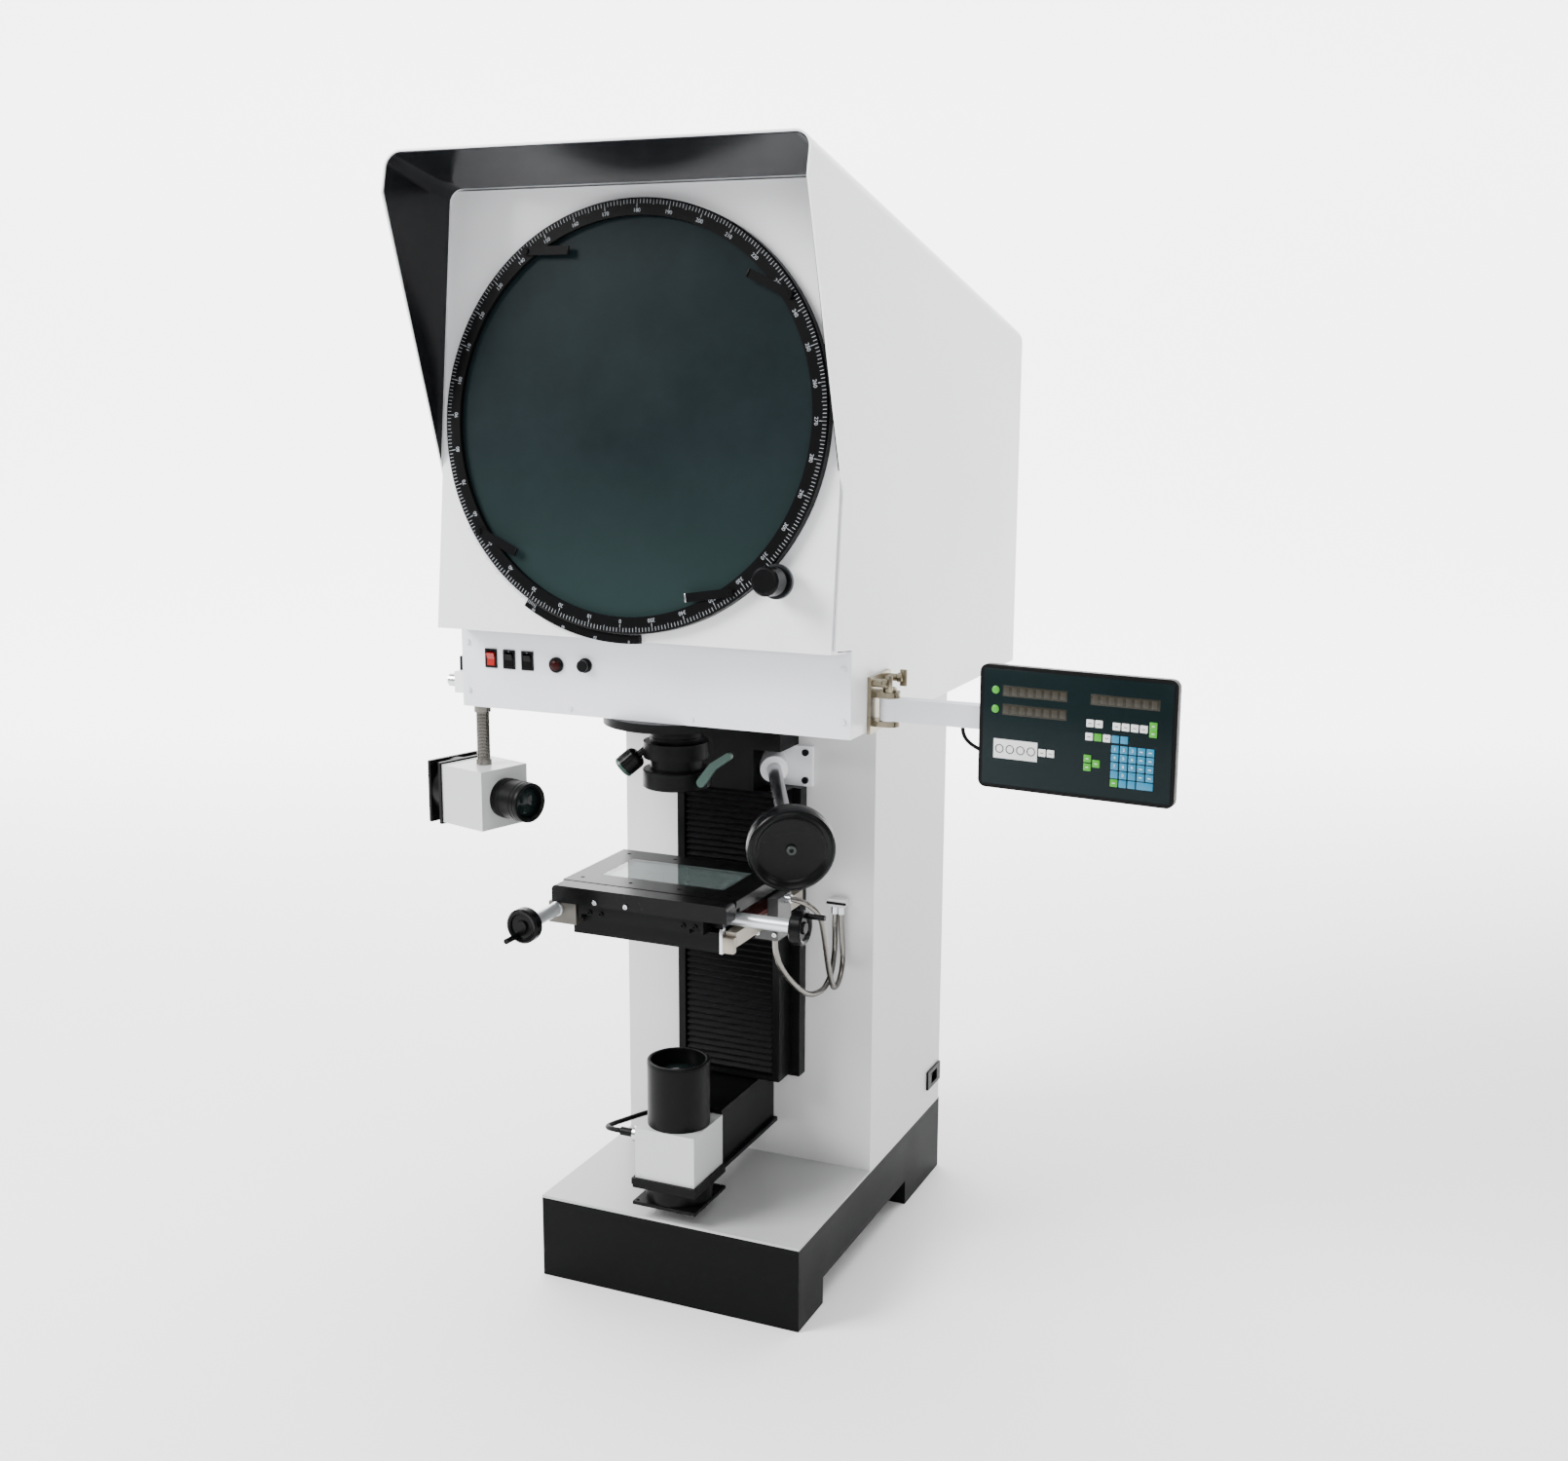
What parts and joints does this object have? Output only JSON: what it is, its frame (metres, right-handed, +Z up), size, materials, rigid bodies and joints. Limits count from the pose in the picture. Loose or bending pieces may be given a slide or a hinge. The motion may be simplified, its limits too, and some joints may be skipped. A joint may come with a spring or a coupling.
{
  "type": "vertical optical comparator",
  "caption": "Bench profile projector: tilted round screen under a visor, lens, cross-slide stage on a vertical slideway, lamps below and beside it, and a digital readout on an arm.",
  "frame": {"origin": "where the vertical optical axis meets the floor, under the feet", "axes": "+Z up along the optical axis, the screen and the stage face -Y, +X to the viewer's right"},
  "size_m": [0.843, 0.6986, 1.273],
  "materials": {
    "white_paint": "satin",
    "black_paint": "satin",
    "black_casting": "painted matte",
    "grey_plate": "satin",
    "panel": "satin",
    "liner": "matte",
    "black_plastic": "satin",
    "red_plastic": "gloss",
    "anodised": "black anodised",
    "bare_alu": "machined",
    "steel": "ground",
    "screen": "ground matte",
    "clear_glass": "polished",
    "mirror": "silvered",
    "grey_green": "satin",
    "bellows": "matte",
    "scale_metal": "anodised",
    "conduit": "wound strip",
    "rubber": "matte",
    "zinc": "yellow zinc plated",
    "readout_case": "textured"
  },
  "bodies": {
    "frame": {"base_casting": "black_casting", "base_plate": "grey_plate", "column_shell": "white_paint", "rear_covers": "white_paint", "cable_fittings": "black_plastic", "head_shell": "white_paint", "visor_lining": "liner", "screen_plate": "white_paint", "control_panel": "panel", "switch_bezels": "black_plastic", "panel_fittings": "black_plastic", "ring_bearing": "bare_alu", "vernier_plate": "anodised", "mirrors": "mirror", "lens_mount": "black_paint", "lens_barrel": "anodised", "lens_glass": "clear_glass", "slideway": "black_paint", "bellows_upper": "bellows", "bellows_lower": "bellows", "handwheel_boss": "white_paint", "lamp_arm": "black_paint", "lamp_house": "white_paint", "lamp_optics": "black_paint", "lamp_lead": "rubber", "gooseneck": "steel", "readout_bracket": "zinc"},
    "screen_ring": {"protractor_ring": "anodised", "screen_glass": "screen"},
    "clip_a": {"chart_clip_a": "black_paint"},
    "clip_b": {"chart_clip_b": "black_paint"},
    "clip_c": {"chart_clip_c": "black_paint"},
    "clip_d": {"chart_clip_d": "black_paint"},
    "ring_knob": {"ring_knob": "black_plastic"},
    "rocker_red": {"rocker_red": "red_plastic"},
    "rocker_left": {"rocker_left": "black_plastic"},
    "rocker_right": {"rocker_right": "black_plastic"},
    "lens_knob": {"lens_knob": "black_plastic"},
    "lens_lever": {"lens_lever": "grey_green"},
    "z_wheel": {"z_shaft": "steel", "z_handwheel": "black_plastic"},
    "lead_screw": {"lead_screw": "steel"},
    "z_stage": {"carriage": "black_casting", "saddle": "black_paint", "reading_head": "scale_metal", "conduit_a": "conduit", "conduit_b": "conduit"},
    "y_wheel": {"y_handwheel": "black_plastic"},
    "y_slide": {"cross_slide": "black_paint", "scale_bar": "scale_metal"},
    "x_wheel": {"x_handwheel": "black_plastic"},
    "x_table": {"stage_table": "black_paint", "stage_glass": "clear_glass"},
    "lamp_fan": {"lamp_fan_rotor": "black_plastic"},
    "surface_lamp": {"surface_lamp": "white_paint", "surface_barrel": "black_paint"},
    "surface_fan": {"surface_fan_rotor": "black_plastic"},
    "readout_arm": {"readout_arm": "white_paint"},
    "readout": {"readout": "readout_case", "readout_lead": "rubber"}
  },
  "joints": [
    {"name": "ring_turn", "type": "hinge", "parent": "frame", "child": "screen_ring", "pos_m": [0, -0.08973, 1.00929], "axis": [0, -0.9938, 0.1115], "continuous": true},
    {"name": "ring_knob_turn", "type": "hinge", "parent": "frame", "child": "ring_knob", "pos_m": [0.17464, -0.10726, 0.85302], "axis": [0, -0.9938, 0.1115], "continuous": true},
    {"name": "clip_a_swing", "type": "hinge", "parent": "screen_ring", "child": "clip_a", "pos_m": [-0.12698, -0.07095, 1.17675], "axis": [0, -0.9938, 0.1115], "range_deg": [-25, 25]},
    {"name": "clip_b_swing", "type": "hinge", "parent": "screen_ring", "child": "clip_b", "pos_m": [0.17284, -0.07624, 1.12956], "axis": [0, -0.9938, 0.1115], "range_deg": [-25, 25]},
    {"name": "clip_c_swing", "type": "hinge", "parent": "screen_ring", "child": "clip_c", "pos_m": [-0.17284, -0.10322, 0.88902], "axis": [0, -0.9938, 0.1115], "range_deg": [-25, 25]},
    {"name": "clip_d_swing", "type": "hinge", "parent": "screen_ring", "child": "clip_d", "pos_m": [0.12402, -0.10876, 0.83965], "axis": [0, -0.9938, 0.1115], "range_deg": [-25, 25]},
    {"name": "rocker_red_tilt", "type": "hinge", "parent": "frame", "child": "rocker_red", "pos_m": [-0.194, -0.062, 0.746], "axis": [1, 0, 0], "range_deg": [-16, 0]},
    {"name": "rocker_left_tilt", "type": "hinge", "parent": "frame", "child": "rocker_left", "pos_m": [-0.1708, -0.062, 0.746], "axis": [1, 0, 0], "range_deg": [-16, 0]},
    {"name": "rocker_right_tilt", "type": "hinge", "parent": "frame", "child": "rocker_right", "pos_m": [-0.1476, -0.062, 0.746], "axis": [1, 0, 0], "range_deg": [-16, 0]},
    {"name": "lens_knob_turn", "type": "hinge", "parent": "frame", "child": "lens_knob", "pos_m": [-0.03345, -0.01461, 0.646], "axis": [-0.702, -0.3067, -0.6428], "range_deg": [-180, 180]},
    {"name": "lens_lever_turn", "type": "hinge", "parent": "frame", "child": "lens_lever", "pos_m": [0.0405, -0.02, 0.618], "axis": [0, 1, 0], "range_deg": [-15, 25]},
    {"name": "z_slide", "type": "slide", "parent": "frame", "child": "z_stage", "axis": [0, 0, 1], "range_m": [-0.09, 0], "deforming": ["bellows_upper", "bellows_lower"]},
    {"name": "z_wheel_turn", "type": "hinge", "parent": "frame", "child": "z_wheel", "pos_m": [0.051, 0.152, 0.599], "axis": [0.4726, -0.865, -0.1685], "range_deg": [-1640, 20]},
    {"name": "lead_screw_turn", "type": "hinge", "parent": "frame", "child": "lead_screw", "pos_m": [0.0204, 0.208, 0.5], "axis": [0, 0, 1], "range_deg": [-1640, 20]},
    {"name": "y_move", "type": "slide", "parent": "z_stage", "child": "y_slide", "axis": [0, 1, 0], "range_m": [-0.025, 0.025]},
    {"name": "y_wheel_turn", "type": "hinge", "parent": "z_stage", "child": "y_wheel", "pos_m": [-0.104, -0.15, 0.476], "axis": [0, -1, 0], "range_deg": [-910, 910]},
    {"name": "x_move", "type": "slide", "parent": "y_slide", "child": "x_table", "axis": [1, 0, 0], "range_m": [-0.05, 0.05]},
    {"name": "x_wheel_turn", "type": "hinge", "parent": "y_slide", "child": "x_wheel", "pos_m": [0.17, -0.0555, 0.481], "axis": [1, 0, 0], "range_deg": [-1820, 1820]},
    {"name": "lamp_fan_spin", "type": "hinge", "parent": "frame", "child": "lamp_fan", "pos_m": [0, 0, 0.13], "axis": [0, 0, 1], "continuous": true},
    {"name": "surface_lamp_swivel", "type": "hinge", "parent": "frame", "child": "surface_lamp", "pos_m": [-0.216, -0.053, 0.6], "axis": [0, 0, 1], "range_deg": [-45, 45]},
    {"name": "surface_fan_spin", "type": "hinge", "parent": "surface_lamp", "child": "surface_fan", "pos_m": [-0.25917, -0.04029, 0.5885], "axis": [0.9593, -0.2823, 0], "continuous": true},
    {"name": "readout_arm_swing", "type": "hinge", "parent": "frame", "child": "readout_arm", "pos_m": [0.25, 0, 0.713], "axis": [0, 0, 1], "range_deg": [-30, 60]},
    {"name": "readout_swivel", "type": "hinge", "parent": "readout_arm", "child": "readout", "pos_m": [0.388, 0, 0.713], "axis": [0, 0, 1], "range_deg": [-12, 15]}
  ],
  "couplings": [
    {"joint": "ring_knob_turn", "follows": "ring_turn", "ratio": -12.26},
    {"joint": "z_wheel_turn", "follows": "z_slide", "rad_per_m": 314.16},
    {"joint": "lead_screw_turn", "follows": "z_slide", "rad_per_m": 314.16},
    {"joint": "y_wheel_turn", "follows": "y_move", "rad_per_m": 628.32},
    {"joint": "x_wheel_turn", "follows": "x_move", "rad_per_m": 628.32}
  ]
}
